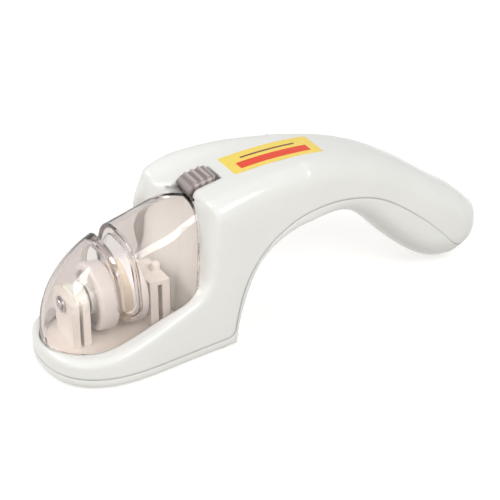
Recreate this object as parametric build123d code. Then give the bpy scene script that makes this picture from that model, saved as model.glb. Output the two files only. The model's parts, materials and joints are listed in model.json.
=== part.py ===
from build123d import *
import math
import os

# Hand-held knife sharpener that rolls a pair of ceramic wheels on the blade.
# Millimetres. While it is built, X runs from the nose tip (0) to the tail, Y is across, Z is up
# from the table. The finished pieces are moved so that X = 0 is the middle of the length.

# Overall body
overall_length = 193.5
base_length = 73.0
base_half_width = 26.2
nose_round_length = 30.0
nose_round_power = 2.4
foot_half_width = 20.9
grip_half_width = 17.4
tail_half_width = 13.0
crown_height = 67.2
shoulder_height = 62.6
arch_height = 43.0
tip_height = 17.0
base_lift = 0.5
wall = 2.2
wall_draft = -1.4
tail_draft = 1.6
top_edge_radius = 7.5
base_edge_radius = 2.6
belly_share = 0.9
crest_share = 0.86
arch_station = 106.0
seam_tolerance = 0.1
parting_height = 4.6
parting_gap = 0.3

# Flange and shoulder around the cover
rim_height = 12.1
ramp_start = 16.7
ramp_slope = 0.36
back_foot = 53.7
back_lean = 0.137
ramp_radius = 40.0
shoulder_radius = 10.0
shoulder_turn = 15.0
shoulder_flat = 13.0
cheek_slant = 0.42
cheek_flat = 17.0
cheek_turn = 9.0
crease_radius = 3.0

# Smoked cover
cover_nose = 1.6
cover_half_width = 19.3
cover_plan_length = 28.4
cover_plan_power = 2.2
cover_crown_length = 34.4
cover_crown_power = 2.3
cover_start_height = 28.7
cover_rise = 0.309
cover_arch_power = 3.2
cover_wall = 2.0
cover_skirt = 3.0
cover_fit = 0.3
dome_foot = 6.0
well_wall = 1.8
well_bottom = 8.6
slot_station = 30.0
slot_width = 5.8
slot_floor = 25.0
slot_flare = 0.6
lip_wall = 1.7
lip_depth = 4.0

# Wheels and their axle
axle_height = 26.0
axle_radius = 2.0
running_fit = 0.05
wheel_radius = 12.9
wheel_rim_width = 6.6
wheel_bevel_width = 2.8
wheel_bevel_depth = 3.4
wheel_gap = 0.6
wheel_round = 1.6
wheel_dish = 1.2
wheel_web_radius = 6.4
ring_bore = 7.0
side_play = 0.3
hub_radius = 4.2
hub_flange_radius = 6.0
hub_flange_width = 1.0
collar_width = 1.0
washer_width = 0.6
washer_radius = 4.6
front_bush_radius = 6.5
rear_bush_radius = 3.4
clip_width = 0.8
clip_radius = 3.0

# Tray with the posts that carry the axle
tray_top = 11.2
tray_thickness = 2.0
tray_fit = 0.4
post_outer = 8.7
post_inner = 4.4
front_post_station = 10.4
front_post_thickness = 2.8
front_post_pitch = 4.2
front_post_outer = 8.4
front_post_top = 29.2
rear_post_top = 28.9
tray_rear = 54.6
post_thickness = 3.2
post_gap = 1.8
rear_post_station = 41.6
cap_thickness = 1.6
cap_nub_height = 3.0
cap_nub_radius = 1.8

# Cover release slide in the top of the body
slide_width = 10.6
slide_front = 62.3
slide_grip_length = 9.8
slide_rise = 1.6
slide_floor = 58.0
slide_travel = 2.0
slide_fit = 0.3
slide_tongue_length = 7.0
slide_tongue_height = 2.6
slide_rail = 1.7
rail_floor = 0.7
rail_height = 1.2
slide_ribs = 3
rib_height = 0.9
spring_wire = 0.5
spring_radius = 1.9
spring_length = 7.0
spring_room = 2.3
spring_gap = 0.05

# Fasteners, feet and label
screw_radius = 1.4
screw_head_radius = 2.8
screw_head_height = 1.8
boss_radius = 4.0
boss_hole_fit = 0.1
base_screw_x = 66.0
base_screw_y = 9.2
screw_joint = 6.2
grip_screw_x = 105.0
grip_joint = 50.0
tail_screw_x = 163.0
tail_joint = 24.0
carrier_screw_front = 16.0
carrier_screw_rear = 45.7
seat_height = 2.9
grip_seat = 45.4
tail_seat = 16.0
front_pad_x = 20.0
front_pad_y = 14.0
rear_pad_x = 62.0
rear_pad_y = 16.5
pad_length = 16.0
pad_width = 6.0
pad_recess = 0.8
label_length = 38.0
label_width = 14.0
label_thickness = 0.2
label_station = 98.4


def mirror_join(half):
    """Close a half outline, drawn on one side of the X axis, by its mirror image."""
    both = half + [edge.mirror(Plane.XZ) for edge in half]
    return make_face(both)


def body_half_width(x):
    """Half width of the body at its parting line."""
    if x < nose_round_length:
        u = (nose_round_length - x) / nose_round_length
        return base_half_width * (1 - u**nose_round_power) ** (1 / nose_round_power)
    stops = (
        (nose_round_length, base_half_width),
        (base_length, foot_half_width),
        (arch_station, grip_half_width),
        (overall_length - 40, tail_half_width + 0.6),
        (overall_length - tail_half_width, tail_half_width),
    )
    for (x0, w0), (x1, w1) in zip(stops, stops[1:]):
        if x <= x1:
            share = (x - x0) / (x1 - x0)
            return w0 + (w1 - w0) * share
    end = x - (overall_length - tail_half_width)
    return math.sqrt(max(tail_half_width**2 - end**2, 0.01))


def plan_face(inset, z):
    """Plan outline of the head and grip, drawn in by inset, on the plane at height z."""
    turn = 0.5 * nose_round_length
    xs = [0.7, 2.6, 6.5, 12.5, 21.0, 33.0, 48.0, base_length, 88.0, arch_station, 120.0]
    points = [Vector(inset, 0, z)]
    for x in xs:
        points.append(Vector(x + inset * max(0, 1 - x / turn), body_half_width(x) - inset, z))
    side = Spline(points, tangents=((0, 1, 0), (1, -0.13, 0)))
    end = Line(points[-1], (points[-1].X, 0, z))
    return mirror_join([side, end])


top_line = Spline(
    (40, shoulder_height - 8.5),
    (62, shoulder_height),
    (80, crown_height - 1.2),
    (arch_station, crown_height),
    (130, crown_height - 3.2),
    (150, crown_height - 12.2),
    (175, crown_height - 29.6),
    (185, crown_height - 37.0),
    (191.2, crown_height - 43.2),
    (overall_length, tip_height),
    tangents=((1, 0.45), (0, -1)),
)
arch_line = Spline(
    (base_length + 0.6, 5.0),
    (base_length + 4.4, 20.0),
    (base_length + 12.4, 34.6),
    (arch_station, arch_height),
    (125, arch_height - 2.4),
    (143, 25.6),
    (158, 11.6),
    (173.5, 3.4),
    (185, 5.4),
    (191.6, 10.2),
    (overall_length, tip_height),
    tangents=((0.12, 1), (0, 1)),
)


def height_on(line, x):
    """Height of a side-view line at a station along X."""
    low = 0.0
    high = 1.0
    for _ in range(48):
        middle = (low + high) / 2
        if (line @ middle).X < x:
            low = middle
        else:
            high = middle
    return (line @ low).Y


def share_on(line, x):
    """Parameter of a side-view line at a station along X."""
    low = 0.0
    high = 1.0
    for _ in range(40):
        middle = (low + high) / 2
        if (line @ middle).X < x:
            low = middle
        else:
            high = middle
    return low


def side_solid(face, half_width):
    """Side-view face swept across the object, symmetric about its middle plane."""
    return extrude(Plane.XZ.offset(-half_width) * face, amount=2 * half_width)


def box_between(low, high):
    """Box from its lowest to its highest corner."""
    size = [b - a for a, b in zip(low, high)]
    middle = [(a + b) / 2 for a, b in zip(low, high)]
    return Pos(*middle) * Box(*size)


def rod_z(x, y, z0, z1, radius):
    """Upright cylinder."""
    return Pos(x, y, (z0 + z1) / 2) * Cylinder(radius, z1 - z0)


def rod_x(x0, x1, radius, y=0.0, z=axle_height):
    """Cylinder along X, on the axle line unless told otherwise."""
    return Pos((x0 + x1) / 2, y, z) * Rot(0, 90, 0) * Cylinder(radius, x1 - x0)


# Head: side view crossed with the plan view, both with the same draft
def line_beside(line, distance):
    """Smooth line at a distance to the left of a side-view line."""
    points = []
    for k in range(10):
        point = line @ (k / 9)
        along = line % (k / 9)
        points.append((point.X - distance * along.Y, point.Y + distance * along.X))
    first = line % 0
    last = line % 1
    return Spline(*points, tangents=((first.X, first.Y), (last.X, last.Y)))


def head_side_face(rear, inset):
    """Side view of the head, drawn in by inset."""
    upper = top_line.trim(0, share_on(top_line, rear))
    lower = arch_line.trim(0, share_on(arch_line, rear))
    if inset:
        upper = line_beside(upper, -inset)
        lower = line_beside(lower, inset)
    foot = (base_length - inset, base_lift + inset)
    front = Polyline(upper @ 0, (-2, (upper @ 0).Y), (-2, base_lift + inset), foot, lower @ 0)
    return make_face([upper, lower, front, Line(lower @ 1, upper @ 1)])


def head_block(inset):
    """Head without its front cut, from the nose to the top of the arch."""
    side = head_side_face(arch_station + 8, inset)
    plan = loft([plan_face(inset, -1), plan_face(inset + wall_draft, 72)])
    block = side_solid(side, 40) & plan
    return block & box_between((-5, -40, -5), (arch_station, 40, 90))


def largest(shape):
    """The one solid of a cut that matters, without the slivers beside it."""
    return Solid(shape.solids().sort_by(SortBy.VOLUME)[-1].wrapped)


def long_top_edges(block):
    return [e for e in block.edges() if e.center().Z > 60 and e.length > 55]


outer_head = largest(head_block(0))
outer_head = fillet(long_top_edges(outer_head), top_edge_radius)


# Space in front of the shoulder: flat at the nose, a ramp, then the leaning back of the arch
def ramp_solid(drop=0.0, shift=0.0):
    """Everything above the flange, straight across the object."""
    low = rim_height - drop
    end_x = 110.0
    face = make_face(
        Polyline(
            (-20, low),
            (ramp_start + shift, low),
            (end_x, low + ramp_slope * (end_x - ramp_start - shift)),
            (end_x, 130),
            (-20, 130),
            close=True,
        )
    )
    bend = sorted(face.vertices(), key=lambda v: abs(v.X - ramp_start) + abs(v.Y - low))[0]
    return side_solid(fillet(bend, ramp_radius), 40)


def back_face(z, shift=0.0):
    """Plan outline of the space in front of the shoulder, at height z, corners swept back."""
    foot = back_foot + shift + back_lean * z
    outline = []
    for side, flat, turn, slant in ((-1, shoulder_flat, shoulder_turn, 0.0), (1, cheek_flat, cheek_turn, cheek_slant)):
        sweep_angle = math.pi / 2 + math.atan(slant)
        tip = foot - slant * flat
        start_angle = math.atan(slant)
        centre_x = tip + turn * math.cos(start_angle)
        centre_y = flat - turn * math.sin(start_angle)

        def on_turn(share):
            angle = sweep_angle * share - start_angle
            return (centre_x - turn * math.cos(angle), side * (centre_y + turn * math.sin(angle)), z)

        far_back = (foot + 40, side * (centre_y + turn), z)
        outline += [
            Line((foot, 0, z), on_turn(0)),
            ThreePointArc(on_turn(0), on_turn(0.5), on_turn(1)),
            Line(on_turn(1), far_back),
            Line(far_back, (foot + 40, side * 40, z)),
            Line((foot + 40, side * 40, z), (-20, side * 40, z)),
        ]
    outline.append(Line((-20, -40, z), (-20, 40, z)))
    return make_face(outline)


def front_space(drop=0.0, shift=0.0, corner=0.0):
    """The space in front of the shoulder and above the flange."""
    front = loft([back_face(0, shift), back_face(85, shift)], ruled=True)
    space = front & ramp_solid(drop, shift)
    if corner:
        bend = [e for e in space.edges() if 24 < e.center().Z < 45 and 50 < e.center().X < 100]
        space = fillet([e for e in bend if abs(e.center().Y) < 30], corner)
    return space


def crease_edges(block, space):
    """Edges where the cut of the space meets the outside of the block."""
    skin = space.shells()[0]
    cut = [f for f in block.faces() if skin.distance_to(Vertex(*f.position_at(0.5, 0.5))) < 0.02]
    count = {}
    for face in cut:
        for edge in face.edges():
            key = tuple(round(v, 3) for v in (edge @ 0.5))
            count.setdefault(key, []).append(edge)
    return [group[0] for group in count.values() if len(group) == 1]


space = front_space(corner=shoulder_radius)
head = largest(outer_head - space)
head = fillet(crease_edges(head, space), crease_radius)
low_edges = [e for e in head.edges() if e.length > 50 and (e @ 0.5).Z < 1]
low_edges += [e for e in head.edges() if e.length > 50 and (e @ 0.5).X > 80 and (e @ 0.5).Z < 40]
low_edges += [e for e in head.edges() if 4 < e.length < 5 and (e @ 0.5).Z < 4]
head = fillet([e for e in low_edges if abs((e @ 0.5).Y) > 15], base_edge_radius)


# Tail: rounded sections along the handle, with an underside that grows into a deep belly
def smooth_least(size, room, share):
    """A radius held under its room, without a sudden change, by a share from 0 to 1."""
    return (size**-6 + share * room**-6) ** (-1 / 6)


def grip_section(x, inset=0.0):
    """Cross-section of the handle at one station, as a face looking along X."""
    top = height_on(top_line, x) - inset
    bottom = height_on(arch_line, x) + inset
    half = body_half_width(x) - inset
    share = min(1.0, max(0.0, (x - arch_station) / 44))
    lean = (wall_draft + (tail_draft - wall_draft) * share) / 73
    upper = half - lean * (top + 1)
    lower = half - lean * (bottom + 1)
    round_share = share * share * (3 - 2 * share)
    belly = base_edge_radius + (belly_share * lower - base_edge_radius) * round_share
    crest = top_edge_radius - inset + (crest_share * upper - top_edge_radius + inset) * round_share
    room = 0.5 * (top - bottom)
    belly = smooth_least(belly, room, share)
    crest = smooth_least(crest, room, share)
    face = make_face(
        Polyline((-lower, bottom), (lower, bottom), (upper, top), (-upper, top), close=True)
    )
    low_corners = face.vertices().sort_by(Axis.Y)[:2]
    face = fillet(low_corners, belly)
    high_corners = [v for v in face.vertices() if abs(v.Y - top) < 1e-6]
    face = fillet(high_corners, crest)
    return Plane(origin=(x, 0, 0), x_dir=(0, 1, 0), z_dir=(1, 0, 0)) * face


def tail_solid(start, inset=0.0):
    """The handle from a station to its tip."""
    stations = [start, 112, 120, 130, 142, 155, 168, 178, overall_length - tail_half_width]
    for turn in (25, 45, 60, 72, 82, 88):
        stations.append(overall_length - tail_half_width + tail_half_width * math.sin(math.radians(turn)))
    if inset:
        stations = [x for x in stations if body_half_width(x) > 2.2 * inset + 3]
    return loft([grip_section(x, inset) for x in stations])


tail = tail_solid(arch_station)
body = largest(head.fuse(tail, tol=seam_tolerance))

# The hollow inside
hollow_head = largest(head_block(wall))
hollow_head = fillet(long_top_edges(hollow_head), top_edge_radius - wall)
hollow_space = front_space(corner=shoulder_radius).moved(Location((wall, 0, -wall)))
hollow_tail = tail_solid(arch_station - 2, wall + 0.15)
hollow = largest(hollow_head - hollow_space) + hollow_tail


# Parting line between the lower and the upper body
def lower_region(gap=0.0):
    """Everything below the parting line."""
    foot_top = (base_length - 1.1, parting_height + 3.4)
    points = [
        foot_top,
        (base_length + 1.6, 20.0),
        (base_length + 9.5, 35.0),
        (94.7, arch_height + 1.3),
        (108.0, arch_height + 5.3),
        (127.0, arch_height + 4.2),
        (141.4, 42.1),
        (155.0, 32.9),
        (165.3, 24.4),
        (174.6, 15.1),
        (181.0, 9.8),
        (188.0, 8.2),
        (202.0, 7.8),
    ]
    line = [
        Line((-5, parting_height), (base_length - 4.4, parting_height)),
        ThreePointArc(
            (base_length - 4.4, parting_height), (base_length - 2.1, parting_height + 1.0), foot_top
        ),
        Spline(*points, tangents=((0.2, 1), (1, 0))),
        Polyline(points[-1], (202, -10), (-5, -10), (-5, parting_height)),
    ]
    return side_solid(make_face(line), 40).moved(Location((-gap, 0, gap)))


# Dome of the cover: superellipse sections along X on straight skirts
def dome_section(x, grow):
    """One cross-section of the dome, grown by a distance, as a face looking along X."""
    front = cover_nose - grow
    crown = cover_crown_length + grow
    plan = cover_plan_length + grow
    u = max(0.0, (crown - (x - front)) / crown)
    height = (cover_start_height + cover_rise * x + grow) * (1 - u**cover_crown_power) ** (
        1 / cover_crown_power
    )
    v = max(0.0, (plan - (x - front)) / plan)
    half = (cover_half_width + grow) * (1 - v**cover_plan_power) ** (1 / cover_plan_power)
    points = []
    for turn in (0, 13, 32, 52, 71, 90, 109, 128, 148, 167, 180):
        a = math.radians(turn)
        across = math.copysign(abs(math.cos(a)) ** (2 / cover_arch_power), math.cos(a))
        up = abs(math.sin(a)) ** (2 / cover_arch_power)
        points.append((half * across, rim_height + height * up))
    arch = Spline(*points, tangents=((0, 1), (0, -1)))
    low = dome_foot
    skirt = Polyline((-half, rim_height), (-half, low), (half, low), (half, rim_height))
    return Plane(origin=(x, 0, 0), x_dir=(0, 1, 0), z_dir=(1, 0, 0)) * make_face([arch, skirt])


def dome(grow=0.0):
    """Solid dome with its skirt, from the nose past the shoulder."""
    stations = []
    for turn in (3, 9, 14, 22, 34, 48, 64, 80):
        length = cover_plan_length + grow
        stations.append(cover_nose - grow + length * (1 - math.cos(math.radians(turn))))
    stations += [33.5, 42.0, 52.0, 66.0]
    return loft([dome_section(x, grow) for x in stations])


outer_dome = dome()
inner_dome = dome(-cover_wall)
hole_dome = dome(cover_fit)
well_dome = dome(cover_fit + well_wall)
front = loft([back_face(0), back_face(85)], ruled=True)
back_wall = loft([back_face(0, well_wall), back_face(85, well_wall)], ruled=True)
cover_front = loft([back_face(0, -cover_fit), back_face(85, -cover_fit)], ruled=True)
hole = hole_dome & front
well = (well_dome & back_wall) & box_between((-5, -40, well_bottom), (80, 40, 60))


# Slide housing under the roof
slide_tail = slide_front + slide_grip_length + slide_tongue_length
channel_end = slide_tail + slide_travel + slide_fit
spring_end = slide_tail + spring_length
half_slide = slide_width / 2
housing = box_between((56, -half_slide - 3.6, slide_floor - 2.2), (spring_end + 2, half_slide + 3.6, 90))
pocket = box_between(
    (40, -half_slide - slide_fit, slide_floor - slide_fit),
    (slide_front + slide_grip_length + slide_travel + slide_fit, half_slide + slide_fit, 90),
)
pocket += box_between(
    (40, -half_slide - slide_fit, slide_floor - slide_fit),
    (channel_end, half_slide + slide_fit, slide_floor + slide_tongue_height + slide_fit),
)
pocket += box_between(
    (40, -half_slide - slide_rail - slide_fit, slide_floor + rail_floor - slide_fit),
    (channel_end, half_slide + slide_rail + slide_fit, slide_floor + rail_floor + rail_height + slide_fit),
)
spring_middle = slide_floor + slide_tongue_height / 2
pocket += box_between(
    (slide_front + 6, -spring_room, spring_middle - spring_room),
    (spring_end, spring_room, spring_middle + spring_room),
)

# Bosses for the screws
upper_posts = Part()
for side in (-1, 1):
    boss = rod_z(base_screw_x, side * base_screw_y, screw_joint, 36, boss_radius)
    rib = box_between(
        (base_screw_x - 1, min(side * base_screw_y, side * 24), screw_joint),
        (base_screw_x + 1, max(side * base_screw_y, side * 24), 36),
    )
    upper_posts += boss + rib
upper_posts += rod_z(grip_screw_x, 0, grip_joint, 70, boss_radius)
upper_posts += rod_z(tail_screw_x, 0, tail_joint, 70, boss_radius)
inside_walls = body - front_space(corner=shoulder_radius).moved(Location((0.4, 0, -0.4)))
upper_extra = (well + housing + upper_posts) & inside_walls

upper_body = (body - lower_region(parting_gap)) - hollow
upper_body = upper_body + upper_extra
upper_body = upper_body - hole - pocket

# Lower body: tub of the base, back of the foot and underside of the handle
lower_posts = Part()
counterbores = Part()
screw_spots = [
    (carrier_screw_front, 0, base_lift, seat_height, screw_joint),
    (carrier_screw_rear, 0, base_lift, seat_height, screw_joint),
    (base_screw_x, base_screw_y, base_lift, seat_height, screw_joint),
    (base_screw_x, -base_screw_y, base_lift, seat_height, screw_joint),
    (grip_screw_x, 0, arch_height, grip_seat, grip_joint),
    (tail_screw_x, 0, 4.0, tail_seat, tail_joint),
]
for x, y, foot, seat, joint in screw_spots:
    lower_posts += rod_z(x, y, foot, joint, boss_radius)
    counterbores += rod_z(x, y, foot - 5, seat, screw_head_radius + 0.2)
    counterbores += rod_z(x, y, seat - 1, joint + 1, screw_radius + boss_hole_fit)
pads = {}
for name, x, y in (("front", front_pad_x, front_pad_y), ("rear", rear_pad_x, rear_pad_y)):
    pads[name] = []
    for side in (-1, 1):
        pad = Pos(x, side * y, 0) * extrude(SlotOverall(pad_length, pad_width), base_lift + pad_recess)
        room = extrude(SlotOverall(pad_length + 0.2, pad_width + 0.2), base_lift + pad_recess)
        counterbores += Pos(x, side * y, 0) * room
        pads[name].append(pad)
lower_body = (body & lower_region()) - hollow
lower_body = lower_body + (lower_posts & body)
lower_body = lower_body - counterbores


def screw(x, y, seat, length):
    """Pan-head screw driven upward, its head below the seat."""
    head = rod_z(x, y, seat - screw_head_height, seat, screw_head_radius)
    head = chamfer(head.edges().sort_by(Axis.Z)[0], 0.5)
    return head + rod_z(x, y, seat, seat + length, screw_radius)


carrier_screws = [screw(x, 0, seat_height, 7.8) for x in (carrier_screw_front, carrier_screw_rear)]
base_screws = [screw(base_screw_x, y, seat_height, 11.0) for y in (-base_screw_y, base_screw_y)]
handle_screws = [
    screw(grip_screw_x, 0, grip_seat, grip_joint - grip_seat + 7.0),
    screw(tail_screw_x, 0, tail_seat, tail_joint - tail_seat + 7.0),
]
thread = screw_radius + 0.03
holes = Part()
for y in (-base_screw_y, base_screw_y):
    holes += rod_z(base_screw_x, y, 0, seat_height + 11.5, thread)
holes += rod_z(grip_screw_x, 0, 40, grip_joint + 7.5, thread)
holes += rod_z(tail_screw_x, 0, 0, tail_joint + 7.5, thread)
upper_body = upper_body - holes

# Smoked cover: dome shell, thick lips around the slot, skirt inside the flange
slot_half = slot_width / 2


def slot_block(grow):
    """Slot outline from the side, rounded below, grown by a distance."""
    radius = slot_half + grow
    foot = slot_floor + slot_half
    tall = box_between((slot_station - radius, -40, foot), (slot_station + radius, 40, 80))
    return tall + Pos(slot_station, 0, foot) * Rot(90, 0, 0) * Cylinder(radius, 80)


cover_space = cover_front & ramp_solid(cover_skirt)
cover_space = cover_space & box_between((-5, -40, tray_top + cover_fit), (90, 40, 90))
lips = (outer_dome - dome(-lip_depth)) & slot_block(lip_wall)
smoked_cover = ((outer_dome - inner_dome) + lips) - slot_block(0)
smoked_cover = smoked_cover & cover_space

# Release slide with its rails, grip ribs and return spring
grip_end = slide_front + slide_grip_length
slide_face = make_face(
    Polyline(
        (slide_front, slide_floor),
        (slide_front, slide_floor + 1.4),
        (slide_front - 1.5, slide_floor + 3.4),
        (slide_front - 1.2, slide_floor + 5.4),
        (slide_front + 0.4, slide_floor + 6.6),
        (grip_end, height_on(top_line, grip_end) + slide_rise),
        (grip_end, slide_floor + slide_tongue_height),
        (slide_tail, slide_floor + slide_tongue_height),
        (slide_tail, slide_floor),
        close=True,
    )
)
release_slide = side_solid(slide_face, half_slide)
top_corners = [e for e in release_slide.edges() if abs((e @ 0.5).Y) > 5 and (e @ 0.5).Z > slide_floor + 5.5]
release_slide = fillet([e for e in top_corners if abs((e @ 0).Y - (e @ 1).Y) < 0.01], 0.8)
release_slide += box_between(
    (slide_front, -half_slide - slide_rail, slide_floor + rail_floor),
    (slide_tail, half_slide + slide_rail, slide_floor + rail_floor + rail_height),
)
rib_pitch = (slide_grip_length - 1.6) / slide_ribs
for k in range(slide_ribs):
    x = slide_front + 1.8 + k * rib_pitch
    share = (x - slide_front - 0.4) / (slide_grip_length - 0.4)
    z = slide_floor + 6.6 + share * (height_on(top_line, grip_end) + slide_rise - slide_floor - 6.6)
    rib = Pos(x, 0, z) * Rot(90, 0, 0) * Cylinder(rib_height, slide_width - 2.0)
    release_slide += rib

# The hidden return spring is drawn as the plain sleeve that its turns fill
spring_span = (slide_tail + spring_gap, spring_end - spring_gap)
release_spring = rod_x(*spring_span, spring_radius + spring_wire / 2, 0, spring_middle)
release_spring -= rod_x(*spring_span, spring_radius - spring_wire / 2, 0, spring_middle)

# Wheels: two plastic wheels with abrasive rings that form the V groove
wheel_front = slot_station - wheel_gap / 2 - wheel_bevel_width - wheel_rim_width
groove_radius = wheel_radius - wheel_bevel_depth
wheel_bore = hub_radius + running_fit


def revolve_about_axle(points, rounding=()):
    """Ring around the axle from its outline of (x, radius) points."""
    face = make_face(Polyline(*points, close=True))
    for x, radius, corner in rounding:
        vertex = sorted(face.vertices(), key=lambda v: abs(v.X - x) + abs(v.Y - radius))[0]
        face = fillet(vertex, corner)
    ring = revolve(Plane.XZ * face, Axis.X)
    return ring.moved(Location((0, 0, axle_height)))


def wheel_pair():
    """Front wheel and front ring."""
    start = wheel_front
    rim_end = start + wheel_rim_width
    middle = rim_end + wheel_bevel_width
    wheel_body = revolve_about_axle(
        [
            (start, wheel_bore),
            (start, wheel_web_radius),
            (start + wheel_dish, wheel_web_radius),
            (start + wheel_dish, wheel_radius - 2.6),
            (start, wheel_radius - 2.6),
            (start, wheel_radius),
            (rim_end, wheel_radius),
            (rim_end, ring_bore),
            (middle, ring_bore),
            (middle, wheel_bore),
        ],
        [(start, wheel_radius, wheel_round)],
    )
    grinding_ring = revolve_about_axle(
        [
            (rim_end, ring_bore),
            (rim_end, wheel_radius - 0.6),
            (middle, groove_radius),
            (middle, ring_bore),
        ]
    )
    return wheel_body, grinding_ring


def mirrored(shape):
    """Copy on the other side of the slot's middle plane."""
    return shape.mirror(Plane.YZ.offset(slot_station))


front_wheel, front_grinding_ring = wheel_pair()
rear_wheel = mirrored(front_wheel)
rear_grinding_ring = mirrored(front_grinding_ring)
wheel_rear = 2 * slot_station - wheel_front
wheel_spacer = rod_x(slot_station - wheel_gap / 2, slot_station + wheel_gap / 2, ring_bore)
wheel_spacer -= rod_x(0, 60, wheel_bore)
wheel_hub = rod_x(wheel_front - hub_flange_width, wheel_front, hub_flange_radius)
wheel_hub += rod_x(wheel_front, wheel_rear + collar_width, hub_radius)
wheel_hub -= rod_x(0, 60, axle_radius + running_fit)
hub_collar = rod_x(wheel_rear, wheel_rear + collar_width, hub_flange_radius) - rod_x(0, 60, wheel_bore)

# Axle, clips, bushes and washers that stay still
seat_fit = 0.02
rear_post_end = rear_post_station + 2 * post_thickness + post_gap
front_clip_start = front_post_station - clip_width - 0.1
rear_clip_start = rear_post_end + 0.1
clip_bore = axle_radius - 0.45
axle = rod_x(front_clip_start - 0.6, rear_clip_start + clip_width + 0.6, axle_radius)
axle = chamfer(axle.edges().filter_by(GeomType.CIRCLE), 0.3)
axle_clips = []
for start in (front_clip_start, rear_clip_start):
    groove = rod_x(start - 0.02, start + clip_width + 0.02, axle_radius + 1)
    axle -= groove - rod_x(start - 1, start + 2, clip_bore - 0.02)
    clip = rod_x(start, start + clip_width, clip_radius) - rod_x(start - 1, start + 2, clip_bore)
    clip -= box_between((start - 1, -1.2, axle_height), (start + 2, 1.2, axle_height + 9))
    axle_clips.append(clip)
flange_front = wheel_front - hub_flange_width
front_washer_end = flange_front - side_play
bush_front = front_post_station + front_post_thickness + 0.05
front_bush = rod_x(bush_front, front_washer_end - washer_width - 0.02, front_bush_radius)
front_bush = chamfer(front_bush.edges().sort_by(Axis.X)[-1], 0.5) - rod_x(0, 60, axle_radius + seat_fit)
front_thrust_washer = rod_x(front_washer_end - washer_width, front_washer_end, washer_radius)
front_thrust_washer -= rod_x(0, 60, axle_radius + seat_fit)
rear_thrust_washer = rod_x(rear_post_station - washer_width, rear_post_station, washer_radius)
rear_thrust_washer -= rod_x(0, 60, axle_radius + seat_fit)
rear_bush = rod_x(rear_post_station + 0.05, rear_post_end, rear_bush_radius)
rear_bush -= rod_x(0, 60, axle_radius + seat_fit)

# Carrier: tray with the posts
tray_floor = tray_top - tray_thickness
wheel_carrier = dome(cover_fit - tray_fit)
tray_back = loft([back_face(0, -tray_fit), back_face(85, -tray_fit)], ruled=True)
wheel_carrier = (wheel_carrier & tray_back) & box_between((-5, -40, tray_floor), (tray_rear, 40, tray_top))
post_spots = [
    (front_post_station, front_post_thickness, front_post_outer, front_post_top),
    (front_post_station + front_post_pitch, front_post_thickness, front_post_outer, front_post_top),
    (rear_post_station, post_thickness, post_outer, rear_post_top),
    (rear_post_station + post_thickness + post_gap, post_thickness, post_outer, rear_post_top),
]
for x, thickness, outer, top in post_spots:
    for side in (-1, 1):
        low_y = min(side * post_inner, side * outer)
        high_y = max(side * post_inner, side * outer)
        wheel_carrier += box_between((x, low_y, tray_floor), (x + thickness, high_y, top))
    wheel_carrier += box_between((x, -outer, tray_floor), (x + thickness, outer, axle_height))
for x in (carrier_screw_front, carrier_screw_rear):
    wheel_carrier += rod_z(x, 0, screw_joint + 0.05, tray_floor, 3.2)
    wheel_carrier -= rod_z(x, 0, 0, seat_height + 8.0, thread)
second_post = front_post_station + front_post_pitch
wheel_carrier -= rod_x(second_post - 0.6, second_post + front_post_thickness + 1, front_bush_radius + seat_fit)
wheel_carrier -= rod_x(0, 30, axle_radius + seat_fit)
wheel_carrier -= rod_x(rear_post_station - 1, 60, rear_bush_radius + seat_fit)
cap_half = post_inner - 0.05
front_bearing_cap = box_between(
    (front_post_station, -cap_half, axle_height + 0.02),
    (front_post_station + front_post_thickness, cap_half, front_post_top),
)
front_bearing_cap -= rod_x(0, 60, axle_radius + seat_fit)
rear_bearing_cap = box_between(
    (rear_post_station, -cap_half, axle_height + 0.02), (rear_post_end, cap_half, rear_post_top)
)
rear_bearing_cap += box_between(
    (rear_post_station, -post_outer, rear_post_top),
    (rear_post_end, post_outer, rear_post_top + cap_thickness),
)
nub_top = rear_post_top + cap_thickness + cap_nub_height
nub = rod_z(rear_post_end - 1.8, 0, rear_post_top, nub_top, cap_nub_radius)
rear_bearing_cap += fillet(nub.edges().sort_by(Axis.Z)[-1], 0.8)
rear_bearing_cap -= rod_x(0, 60, rear_bush_radius + seat_fit)

# Label on the flat of the handle's top
label_low = label_station - label_length / 2
label_high = label_station + label_length / 2
label_room = box_between((label_low, -label_width / 2, 55), (label_high, label_width / 2, 80))
label_sticker = largest((body.moved(Location((0, 0, label_thickness))) & label_room) - body)

nodes = {
    "upper_body": [upper_body],
    "lower_body": [lower_body],
    "smoked_cover": [smoked_cover],
    "release_slide": [release_slide],
    "release_spring": [release_spring],
    "wheel_carrier": [wheel_carrier],
    "front_bearing_cap": [front_bearing_cap],
    "rear_bearing_cap": [rear_bearing_cap],
    "axle": [axle],
    "axle_clips": axle_clips,
    "front_bush": [front_bush],
    "rear_bush": [rear_bush],
    "front_thrust_washer": [front_thrust_washer],
    "rear_thrust_washer": [rear_thrust_washer],
    "wheel_hub": [wheel_hub],
    "hub_collar": [hub_collar],
    "wheel_spacer": [wheel_spacer],
    "front_wheel": [front_wheel],
    "rear_wheel": [rear_wheel],
    "front_grinding_ring": [front_grinding_ring],
    "rear_grinding_ring": [rear_grinding_ring],
    "carrier_screws": carrier_screws,
    "base_screws": base_screws,
    "handle_screws": handle_screws,
    "front_foot_pads": pads["front"],
    "rear_foot_pads": pads["rear"],
    "label_sticker": [label_sticker],
}
os.makedirs("parts", exist_ok=True)
for name, pieces in nodes.items():
    solids = [solid for piece in pieces for solid in piece.solids()]
    placed = Compound(children=solids) if len(solids) > 1 else solids[0]
    export_step(placed.moved(Location((-overall_length / 2, 0, 0))), f"parts/{name}.step")
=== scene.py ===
import json
import math

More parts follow.
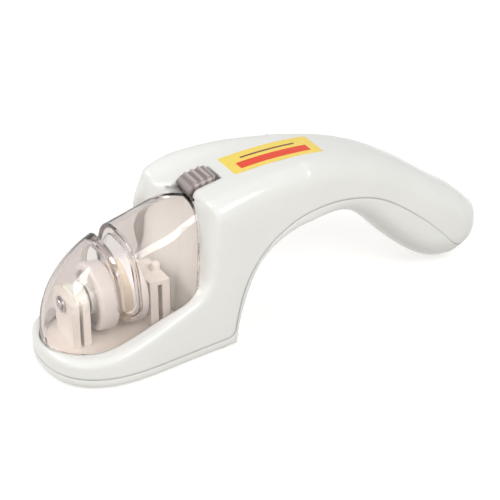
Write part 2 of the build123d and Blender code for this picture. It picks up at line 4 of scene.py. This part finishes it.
import bmesh
import bpy
import mathutils
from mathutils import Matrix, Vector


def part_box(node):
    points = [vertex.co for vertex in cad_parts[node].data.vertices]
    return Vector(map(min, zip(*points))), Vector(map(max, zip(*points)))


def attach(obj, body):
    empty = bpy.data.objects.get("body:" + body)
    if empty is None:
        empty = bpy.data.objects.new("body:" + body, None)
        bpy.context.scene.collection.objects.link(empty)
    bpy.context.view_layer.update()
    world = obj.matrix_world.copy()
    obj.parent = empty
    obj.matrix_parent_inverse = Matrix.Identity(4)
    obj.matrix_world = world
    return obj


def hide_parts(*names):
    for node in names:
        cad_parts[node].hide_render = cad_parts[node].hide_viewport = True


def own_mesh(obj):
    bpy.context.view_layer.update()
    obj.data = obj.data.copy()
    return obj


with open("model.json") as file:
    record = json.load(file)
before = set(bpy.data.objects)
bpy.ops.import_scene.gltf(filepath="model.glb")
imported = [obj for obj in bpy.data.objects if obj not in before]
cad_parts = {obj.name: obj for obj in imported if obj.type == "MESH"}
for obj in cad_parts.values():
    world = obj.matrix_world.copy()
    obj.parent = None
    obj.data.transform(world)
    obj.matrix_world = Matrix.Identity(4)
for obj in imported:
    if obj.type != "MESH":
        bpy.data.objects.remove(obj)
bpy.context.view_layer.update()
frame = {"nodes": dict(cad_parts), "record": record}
nodes = frame["nodes"]

# Lengths are metres in the part's own frame, angles are degrees, noise scales are cycles per metre.
# Colours are linear.

# Camera, fitted to the photograph
camera_place = (-0.30135, -0.5306, 0.3773)
camera_pitch = 60.0
camera_turn = -29.0
camera_lens = 129.6
sensor_width = 36.0
camera_near = 0.01
camera_far = 20.0

# Studio. Each lamp has a name, a place, a size and a power in watts.
lamps = (
    ("near_box", (0.08, -0.74, 0.72), (0.80, 0.36), 5.5),
    ("left_box", (-0.80, 0.36, 0.60), (0.62, 0.28), 3.6),
    ("front_fill", (-0.85, -0.50, 0.28), (0.60, 0.50), 1.4),
)
lamp_target = (0.0, 0.0, 0.03)
sky_light = 0.45
floor_half = 3.0
floor_drop = 0.0002
floor_glow = 0.60
floor_tones = ((0.58, 0.565, 0.54), (0.56, 0.545, 0.52))

# Moulded plastics: a lighter and a darker tone, then the span of the roughness
shell_finish = ((0.83, 0.83, 0.80), (0.80, 0.80, 0.765), (0.16, 0.24))
tab_finish = ((0.50, 0.42, 0.40), (0.44, 0.37, 0.35), (0.08, 0.16))
satin_finishes = {
    "ivory_plastic": ((0.84, 0.805, 0.76), (0.81, 0.77, 0.72), (0.32, 0.46)),
    "bush_plastic": ((0.82, 0.85, 0.79), (0.78, 0.82, 0.76), (0.30, 0.42)),
    "wheel_plastic": ((0.74, 0.715, 0.70), (0.715, 0.69, 0.67), (0.28, 0.40)),
}
skin_wave = 0.00012
satin_grain = 0.00002
small_edge = 0.0003
shell_edge = 0.0014

# Clear smoked cover
cover_tones = ((0.97, 0.95, 0.94), (0.94, 0.92, 0.91))
cover_absorption = (0.45, 0.35, 0.31)
cover_density = 135.0
cover_edge = 0.0004

# Smoked tab: its ribs along x, whose valleys get painted shade, and the heights between which
# painted shade low down on the tab gives way to its own colour
rib_pitch = 0.00273
first_rib_x = -0.03265
# Share of the tab's own colour left in the painted shade between the ribs
rib_valley_lit_share = 0.35
tab_shade_height = 0.0612
tab_lit_height = 0.0648
# Painted shade: the colour laid on the tab's shaded front face and between its ribs
tab_painted_shade = (0.075, 0.05, 0.045)

# Label: start and end of the bar and the line, first as shares of the label's half length from its
# middle, then as shares of its width from the near edge
label_bar = (-0.80, 0.80, 0.16, 0.50)
label_line = (-0.62, 0.62, 0.66, 0.74)

# Return spring behind the release tab
spring_wire = 0.0005
spring_turns = 7
spring_sides = 10
spring_steps = 24

# Far corner of the shoulder: how far it reaches forward past the solid, and where. Each pair is a
# span over which the shift grows or fades: heights, widths, or distances from the nose.
nose_x = -0.09675
corner_reach = 0.0072
corner_outer_y = 0.0220
corner_inner_y = 0.0202
corner_inner_drop = 0.0045
corner_inner_heights = (0.038, 0.056)
corner_fade = (0.056, 0.088)
corner_foot_heights = (0.022, 0.038)
corner_top_heights = (0.046, 0.061)
corner_top_share = 0.60

# Far top edge behind that corner: how far it moves outward and up, and where
edge_out = 0.0020
edge_up = 0.0016
edge_front_up = 0.0014
edge_widths = (0.012, 0.0195)
edge_heights = (0.040, 0.058)
edge_start = (0.044, 0.068)
edge_fade = (0.088, 0.137)
edge_front_fade = (0.066, 0.104)

# Finer mesh there: least y, least height and furthest distance from the nose of each area
fine_areas = ((0.015, 0.020, 0.092), (0.010, 0.040, 0.137))
fine_step = 0.0016
fine_passes = 6
weld_distance = 1e-6
sharp_angle = 28


def show(name, data):
    """Put a new object into the scene."""
    obj = bpy.data.objects.new(name, data)
    bpy.context.scene.collection.objects.link(obj)
    return obj


def aim(obj, target):
    """Turn an object so that it looks at a point."""
    offset = [t - p for t, p in zip(target, obj.location)]
    flat = math.hypot(offset[0], offset[1])
    obj.rotation_euler = (math.atan2(flat, -offset[2]), 0, math.atan2(-offset[0], offset[1]))


def make_camera():
    """Camera at the photograph's place and angle."""
    data = bpy.data.cameras.new("camera")
    data.sensor_width = sensor_width
    data.lens = camera_lens
    data.clip_start = camera_near
    data.clip_end = camera_far
    camera = show("camera", data)
    camera.location = camera_place
    camera.rotation_euler = (math.radians(camera_pitch), 0, math.radians(camera_turn))
    bpy.context.scene.camera = camera


def make_lamp(name, place, size, power):
    """Soft box that looks at the part."""
    data = bpy.data.lights.new(name, "AREA")
    data.shape = "RECTANGLE"
    data.size = size[0]
    data.size_y = size[1]
    data.energy = power
    lamp = show(name, data)
    lamp.location = place
    aim(lamp, lamp_target)


class Shader:
    """A material's node tree, with short calls to add and join nodes."""

    def __init__(self, name):
        self.material = bpy.data.materials.new(name)
        self.material.use_nodes = True
        self.tree = self.material.node_tree
        self.surface = self.tree.nodes["Principled BSDF"]
        self.output = self.tree.nodes["Material Output"]
        self.place = self.add("ShaderNodeTexCoord").outputs["Object"]

    def add(self, kind, **settings):
        """A new node with these settings."""
        node = self.tree.nodes.new(kind)
        for key, value in settings.items():
            setattr(node, key, value)
        return node

    def join(self, source, target):
        """Link an output to an input."""
        self.tree.links.new(source, target)

    def set(self, **values):
        """Set constant inputs of the surface; an underscore stands for a space."""
        for key, value in values.items():
            self.surface.inputs[key.replace("_", " ")].default_value = value

    def math(self, operation, *operands):
        """A Math node on numbers and outputs of nodes."""
        node = self.add("ShaderNodeMath", operation=operation)
        for socket, operand in zip(node.inputs, operands):
            if isinstance(operand, (int, float)):
                socket.default_value = operand
            else:
                self.join(operand, socket)
        return node.outputs[0]

    def axes(self):
        """The piece's own coordinates, one output for each axis."""
        split = self.add("ShaderNodeSeparateXYZ")
        self.join(self.place, split.inputs["Vector"])
        return split.outputs

    def noise(self, scale, detail=3.0, roughness=0.55, stretch=None):
        """Noise over the piece's own position."""
        texture = self.add("ShaderNodeTexNoise")
        texture.inputs["Scale"].default_value = scale
        texture.inputs["Detail"].default_value = detail
        texture.inputs["Roughness"].default_value = roughness
        place = self.place
        if stretch:
            mapping = self.add("ShaderNodeMapping")
            mapping.inputs["Scale"].default_value = stretch
            self.join(place, mapping.inputs["Vector"])
            place = mapping.outputs["Vector"]
        self.join(place, texture.inputs["Vector"])
        return texture.outputs["Fac"]

    def spread(self, source, low, high, start=0.3, end=0.7):
        """Map a noise from its usual span to a span of values."""
        span = self.add("ShaderNodeMapRange")
        span.inputs["From Min"].default_value = start
        span.inputs["From Max"].default_value = end
        span.inputs["To Min"].default_value = low
        span.inputs["To Max"].default_value = high
        self.join(source, span.inputs["Value"])
        return span.outputs["Result"]

    def blend(self, share, first, second):
        """Mix two colours, each a plain colour or the output of a node."""
        mix = self.add("ShaderNodeMix", data_type="RGBA")
        self.join(share, mix.inputs["Factor"])
        for socket, colour in ((mix.inputs[6], first), (mix.inputs[7], second)):
            if isinstance(colour, tuple):
                socket.default_value = (*colour, 1.0)
            else:
                self.join(colour, socket)
        return mix.outputs[2]

    def soften(self, radius):
        """A normal that rounds the piece's hard edges over a small radius."""
        node = self.add("ShaderNodeBevel", samples=8)
        node.inputs["Radius"].default_value = radius
        return node.outputs["Normal"]

    def bump(self, height, distance, below=None):
        """Relief on the surface, laid over another normal if there is one."""
        node = self.add("ShaderNodeBump")
        node.inputs["Distance"].default_value = distance
        node.inputs["Strength"].default_value = 1.0
        self.join(height, node.inputs["Height"])
        if below:
            self.join(below, node.inputs["Normal"])
        self.join(node.outputs["Normal"], self.surface.inputs["Normal"])
        return node.outputs["Normal"]

    def paint(self, colour):
        """Use an output as the base colour."""
        self.join(colour, self.surface.inputs["Base Color"])

    def gloss(self, roughness):
        """Use an output as the roughness."""
        self.join(roughness, self.surface.inputs["Roughness"])


def moulded(name, finish, grain=0.0, edge=small_edge):
    """Moulded plastic: faint colour drift, handling marks in the gloss and a slightly wavy skin."""
    light, dark, roughness = finish
    shader = Shader(name)
    drift = shader.spread(shader.noise(scale=38, detail=4), 0, 1)
    base = shader.blend(drift, light, dark)
    shader.paint(base)
    marks = shader.noise(scale=90, detail=6, roughness=0.65, stretch=(1.0, 2.2, 1.6))
    shader.gloss(shader.spread(marks, *roughness))
    skin = shader.bump(shader.noise(scale=55, detail=2), skin_wave, shader.soften(edge))
    if grain:
        shader.bump(shader.noise(scale=5200, detail=2), grain, skin)
    return shader, base


def white_shell():
    """Glossy white housing with soft edges."""
    shader, _ = moulded("white_shell", shell_finish, edge=shell_edge)
    shader.set(IOR=1.5)
    return shader.material


def let_lamps_in(shader):
    """Let the lamps' rays pass straight through a thin clear wall; its volume still dims them."""
    rays = shader.add("ShaderNodeLightPath")
    clear = shader.add("ShaderNodeBsdfTransparent")
    either = shader.add("ShaderNodeMixShader")
    shader.join(rays.outputs["Is Shadow Ray"], either.inputs[0])
    shader.join(shader.surface.outputs[0], either.inputs[1])
    shader.join(clear.outputs[0], either.inputs[2])
    shader.join(either.outputs[0], shader.output.inputs["Surface"])


def smoked_cover():
    """Clear smoked plastic: tint by depth, very light handling marks."""
    shader = Shader("smoked_plastic")
    shader.set(Transmission_Weight=1.0, IOR=1.46)
    tint = shader.spread(shader.noise(scale=45), 0, 1)
    shader.paint(shader.blend(tint, *cover_tones))
    marks = shader.noise(scale=160, detail=5, roughness=0.6)
    shader.gloss(shader.spread(marks, 0.02, 0.05))
    shader.bump(shader.noise(scale=60, detail=2), 0.00004, shader.soften(cover_edge))
    depth = shader.add("ShaderNodeVolumeAbsorption")
    depth.inputs["Color"].default_value = (*cover_absorption, 1.0)
    depth.inputs["Density"].default_value = cover_density
    shader.join(depth.outputs["Volume"], shader.output.inputs["Volume"])
    let_lamps_in(shader)
    return shader.material


def dark_tab():
    """Smoked tab with painted shade: its own colour darkens to a painted shade low down on its
    front face and in the valleys between the ribs.
    """
    shader, ridge = moulded("dark_plastic", tab_finish)
    axes = shader.axes()
    # Painted shade by height: full painted shade low down, the tab's own colour higher up
    rise = shader.spread(axes["Z"], 0, 1, tab_shade_height, tab_lit_height)
    # Painted shade between the ribs: darker in the valleys, own colour on the rib tops
    rate = 2 * math.pi / rib_pitch
    phase = shader.math("MULTIPLY_ADD", axes["X"], rate, -first_rib_x * rate)
    ribs = shader.spread(shader.math("COSINE", phase), rib_valley_lit_share, 1, -1, 1)
    # Mix the painted shade into the tab's own colour
    shader.paint(shader.blend(shader.math("MULTIPLY", rise, ribs), tab_painted_shade, ridge))
    shader.set(Coat_Weight=0.5, Coat_Roughness=0.06)
    return shader.material


def grinding_ceramic():
    """Gritty beige ceramic with paler patches."""
    shader = Shader("abrasive_ceramic")
    grit = shader.noise(scale=4200, roughness=0.7)
    cloud = shader.noise(scale=420)
    grains = shader.blend(shader.spread(grit, 0, 1), (0.74, 0.62, 0.47), (0.60, 0.47, 0.34))
    shader.paint(shader.blend(shader.spread(cloud, 0, 0.6), grains, (0.70, 0.66, 0.60)))
    shader.gloss(shader.spread(grit, 0.75, 0.95))
    shader.bump(grit, 0.00012)
    return shader.material


def steel():
    """Turned steel, with marks that run round the x axis."""
    shader = Shader("steel")
    shader.set(Metallic=1.0)
    turned = shader.noise(scale=2600, roughness=0.6, stretch=(6.0, 0.3, 0.3))
    shader.paint(shader.blend(shader.spread(turned, 0, 1), (0.62, 0.62, 0.63), (0.50, 0.50, 0.51)))
    shader.gloss(shader.spread(turned, 0.24, 0.40))
    shader.bump(turned, 0.00001)
    return shader.material


def rubber():
    """Dusty grey rubber."""
    shader = Shader("grey_rubber")
    dust = shader.noise(scale=700, detail=5, roughness=0.7)
    shader.paint(shader.blend(shader.spread(dust, 0, 1), (0.20, 0.20, 0.20), (0.28, 0.28, 0.27)))
    shader.gloss(shader.spread(dust, 0.65, 0.85))
    shader.bump(shader.noise(scale=3000, detail=2), 0.00008)
    return shader.material


def label():
    """Printed film: yellow with a plain orange-red bar and a thin dark line beside it."""
    shader = Shader("yellow_label")
    low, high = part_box("label_sticker")
    width = high.y - low.y
    middle = (low.x + high.x) / 2
    reach = (high.x - low.x) / 2
    axes = shader.axes()
    fleck = shader.noise(scale=900, detail=4)

    def within(source, start, end):
        """1 between two values of a coordinate, 0 outside."""
        after = shader.math("GREATER_THAN", source, start)
        return shader.math("MULTIPLY", after, shader.math("LESS_THAN", source, end))

    def patch(x0, x1, y0, y1):
        """1 inside a rectangle of the label, 0 outside."""
        along = within(axes["X"], middle + x0 * reach, middle + x1 * reach)
        across = within(axes["Y"], low.y + y0 * width, low.y + y1 * width)
        return shader.math("MULTIPLY", along, across)

    ground = shader.blend(shader.spread(fleck, 0, 1), (0.93, 0.72, 0.13), (0.90, 0.67, 0.11))
    banded = shader.blend(patch(*label_bar), ground, (0.80, 0.055, 0.012))
    shader.paint(shader.blend(patch(*label_line), banded, (0.20, 0.05, 0.03)))
    shader.gloss(shader.spread(fleck, 0.32, 0.45))
    shader.set(Specular_IOR_Level=0.35)
    shader.bump(fleck, 0.00001)
    return shader.material


def paint_nodes(spring, housing):
    """Give every CAD node, the spring and the housing the material of its slot in the record."""
    finishes = {
        "white_shell": white_shell(),
        "smoked_plastic": smoked_cover(),
        "dark_plastic": dark_tab(),
        "abrasive_ceramic": grinding_ceramic(),
        "steel": steel(),
        "grey_rubber": rubber(),
        "yellow_label": label(),
    }
    for name, finish in satin_finishes.items():
        shader, _ = moulded(name, finish, grain=satin_grain)
        finishes[name] = shader.material
    painted = [(nodes[part["node"]], part["material_slot"]) for part in frame["record"]["subparts"]]
    for obj, slot in painted + [(spring, "steel"), (housing, "white_shell")]:
        obj.data.materials.clear()
        obj.data.materials.append(finishes[slot])


def smooth_step(value, span):
    """0 before a span of values, 1 after it, and a smooth rise between."""
    low, high = span
    share = min(max((value - low) / (high - low), 0.0), 1.0)
    return share * share * (3 - 2 * share)


def corner_shift(place):
    """How far a point of the housing moves to give the shoulder its full far corner and edge."""
    station = place.x - nose_x
    inner = corner_inner_y - corner_inner_drop * smooth_step(place.z, corner_inner_heights)
    corner = smooth_step(place.y, (inner, corner_outer_y))
    corner *= 1 - smooth_step(station, corner_fade)
    corner *= smooth_step(place.z, corner_foot_heights)
    corner *= 1 - corner_top_share * smooth_step(place.z, corner_top_heights)
    edge = smooth_step(place.y, edge_widths) * smooth_step(place.z, edge_heights)
    edge *= smooth_step(station, edge_start) * (1 - smooth_step(station, edge_fade))
    lift = edge_up + edge_front_up * (1 - smooth_step(station, edge_front_fade))
    return mathutils.Vector((-corner_reach * corner, edge_out * edge, lift * edge))


def needs_split(edge):
    """True for a long mesh edge that passes through an area of finer mesh."""
    first, second = (vert.co for vert in edge.verts)
    y = max(first.y, second.y)
    height = max(first.z, second.z)
    station = min(first.x, second.x) - nose_x
    inside = any(y > area[0] and height > area[1] and station < area[2] for area in fine_areas)
    return inside and edge.calc_length() > fine_step


def full_housing():
    """The upper housing with a far shoulder corner that reaches as far forward as the real one."""
    mesh = nodes["upper_body"].data.copy()
    if "custom_normal" in mesh.attributes:
        mesh.attributes.remove(mesh.attributes["custom_normal"])
    work = bmesh.new()
    work.from_mesh(mesh)
    bmesh.ops.remove_doubles(work, verts=work.verts, dist=weld_distance)
    for _ in range(fine_passes):
        coarse = [edge for edge in work.edges if needs_split(edge)]
        if not coarse:
            break
        bmesh.ops.subdivide_edges(work, edges=coarse, cuts=1)
        bmesh.ops.triangulate(work, faces=[face for face in work.faces if len(face.verts) > 3])
    for vert in work.verts:
        vert.co += corner_shift(vert.co)
    work.to_mesh(mesh)
    work.free()
    mesh.polygons.foreach_set("use_smooth", [True] * len(mesh.polygons))
    mesh.set_sharp_from_angle(angle=math.radians(sharp_angle))
    housing = show("upper_housing", mesh)
    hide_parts("upper_body")
    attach(housing, "frame")
    return housing


def wound_spring():
    """The tab's return spring as wound wire with closed ends, in place of the plain sleeve."""
    low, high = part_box("release_spring")
    start = low.x + spring_wire / 2
    length = high.x - low.x - spring_wire
    radius = (high.y - low.y - spring_wire) / 2
    height = (low.z + high.z) / 2
    pitch = (length - 2 * spring_wire) / (spring_turns - 2)
    verts = []
    rings = spring_turns * spring_steps + 1
    for k in range(rings):
        turn = k / spring_steps
        closed = min(turn, 1) + max(turn - spring_turns + 1, 0)
        along = start + closed * spring_wire + (turn - closed) * pitch
        angle = 2 * math.pi * turn
        for j in range(spring_sides):
            around = 2 * math.pi * j / spring_sides
            reach = radius + spring_wire / 2 * math.cos(around)
            x = along + spring_wire / 2 * math.sin(around)
            verts.append((x, reach * math.cos(angle), height + reach * math.sin(angle)))
    first_cap = tuple(reversed(range(spring_sides)))
    last_cap = tuple(range(len(verts) - spring_sides, len(verts)))
    faces = [first_cap, last_cap]
    for k in range(rings - 1):
        for j in range(spring_sides):
            a = k * spring_sides + j
            b = k * spring_sides + (j + 1) % spring_sides
            faces.append((a, b, b + spring_sides, a + spring_sides))
    mesh = bpy.data.meshes.new("return_spring")
    mesh.from_pydata(verts, [], faces)
    work = bmesh.new()
    work.from_mesh(mesh)
    bmesh.ops.recalc_face_normals(work, faces=work.faces)
    work.to_mesh(mesh)
    work.free()
    mesh.polygons.foreach_set("use_smooth", [True] * len(mesh.polygons))
    spring = show("return_spring", mesh)
    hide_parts("release_spring")
    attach(spring, "frame")
    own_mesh(spring)
    return spring


def background_rays(tree):
    """1 for the rays that show the background: from the camera, mirrored, or through plastic."""
    seen = tree.nodes.new("ShaderNodeLightPath")
    total = seen.outputs["Is Camera Ray"]
    for name in ("Is Glossy Ray", "Is Transmission Ray"):
        either = tree.nodes.new("ShaderNodeMath")
        either.operation = "MAXIMUM"
        tree.links.new(total, either.inputs[0])
        tree.links.new(seen.outputs[name], either.inputs[1])
        total = either.outputs[0]
    return total


def make_floor():
    """Pale floor that keeps the object's shadow."""
    mesh = bpy.data.meshes.new("floor")
    corners = [(-1, -1), (1, -1), (1, 1), (-1, 1)]
    verts = [(x * floor_half, y * floor_half, -floor_drop) for x, y in corners]
    mesh.from_pydata(verts, [], [(0, 1, 2, 3)])
    floor = show("floor", mesh)
    shader = Shader("floor")
    speck = shader.spread(shader.noise(scale=30), 0, 1)
    shader.paint(shader.blend(speck, *floor_tones))
    shader.set(Roughness=0.9, Specular_IOR_Level=0.1, Emission_Color=(1.0, 1.0, 1.0, 1.0))
    glow = shader.math("MULTIPLY", background_rays(shader.tree), floor_glow)
    shader.join(glow, shader.surface.inputs["Emission Strength"])
    mesh.materials.append(shader.material)


def make_world():
    """White to the camera and in reflections, softer as a light."""
    world = bpy.data.worlds.new("studio")
    bpy.context.scene.world = world
    world.use_nodes = True
    tree = world.node_tree
    back = tree.nodes["Background"]
    back.inputs["Color"].default_value = (1.0, 1.0, 1.0, 1.0)
    span = tree.nodes.new("ShaderNodeMapRange")
    span.inputs["To Min"].default_value = sky_light
    span.inputs["To Max"].default_value = 1.0
    tree.links.new(background_rays(tree), span.inputs["Value"])
    tree.links.new(span.outputs["Result"], back.inputs["Strength"])


make_camera()
make_world()
make_floor()
for lamp in lamps:
    make_lamp(*lamp)
paint_nodes(wound_spring(), full_housing())

bpy.context.scene.view_settings.view_transform = "Standard"
